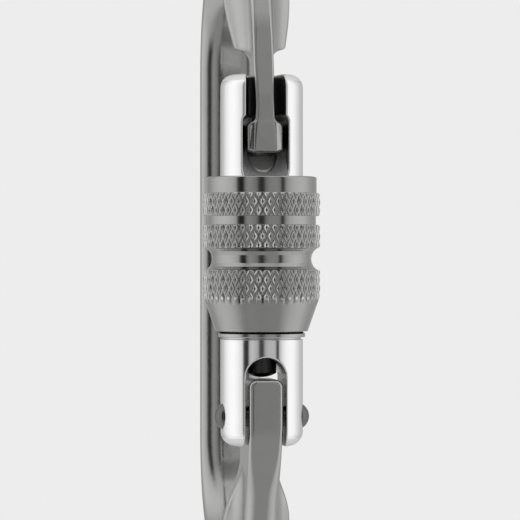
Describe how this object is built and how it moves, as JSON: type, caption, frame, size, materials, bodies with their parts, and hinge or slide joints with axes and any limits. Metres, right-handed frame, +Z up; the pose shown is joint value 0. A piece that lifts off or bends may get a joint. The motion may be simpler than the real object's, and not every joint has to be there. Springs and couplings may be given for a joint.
{
  "type": "screw-lock carabiner",
  "caption": "D-shaped carabiner with a sprung gate, a T-shaped nose and a knurled screw sleeve that locks the gate.",
  "frame": {"origin": "bearing point of the top basket, mid-thickness, on the inside of the top bow", "axes": "+Z up the gate from hinge to nose, -Y out of the gate, +Y to the spine, X across the thickness"},
  "size_m": [0.017, 0.0575, 0.1075],
  "materials": {
    "frame_forging": "tumbled satin forging",
    "gate_barrel": "bright polished",
    "hinge_rivet": "dark satin",
    "spring_plunger": "dark oxide",
    "gate_spring": "drawn wire",
    "bore_plug": "turned",
    "stop_ring": "turned satin",
    "lock_sleeve": "turned and knurled grey anodise"
  },
  "bodies": {
    "frame": {"frame_forging": "frame_forging"},
    "gate": {"gate_barrel": "gate_barrel", "hinge_rivet": "hinge_rivet", "gate_spring": "gate_spring", "bore_plug": "bore_plug"},
    "plunger": {"spring_plunger": "spring_plunger"},
    "ring": {"stop_ring": "stop_ring"},
    "sleeve": {"lock_sleeve": "lock_sleeve"}
  },
  "joints": [
    {"name": "gate_open", "type": "hinge", "parent": "frame", "child": "gate", "pos_m": [0, -0.028, -0.0665], "axis": [-1, 0, 0], "range_deg": [0, 28], "stiffness_Nm_per_rad": 0.06, "springref_deg": -28.65},
    {"name": "plunger_slide", "type": "slide", "parent": "gate", "child": "plunger", "axis": [0, 0, 1], "range_m": [0, 0.001], "deforming": ["gate_spring"]},
    {"name": "sleeve_turn", "type": "hinge", "parent": "gate", "child": "ring", "pos_m": [0, -0.028, -0.0665], "axis": [0, 0, 1], "range_deg": [0, 1224.01]},
    {"name": "sleeve_travel", "type": "slide", "parent": "ring", "child": "sleeve", "axis": [0, 0, 1], "range_m": [0, 0.0136]}
  ],
  "couplings": [
    {"joint": "plunger_slide", "follows": "gate_open", "m_per_rad": 0.002},
    {"joint": "sleeve_turn", "follows": "sleeve_travel", "rad_per_m": 1570.8}
  ]
}
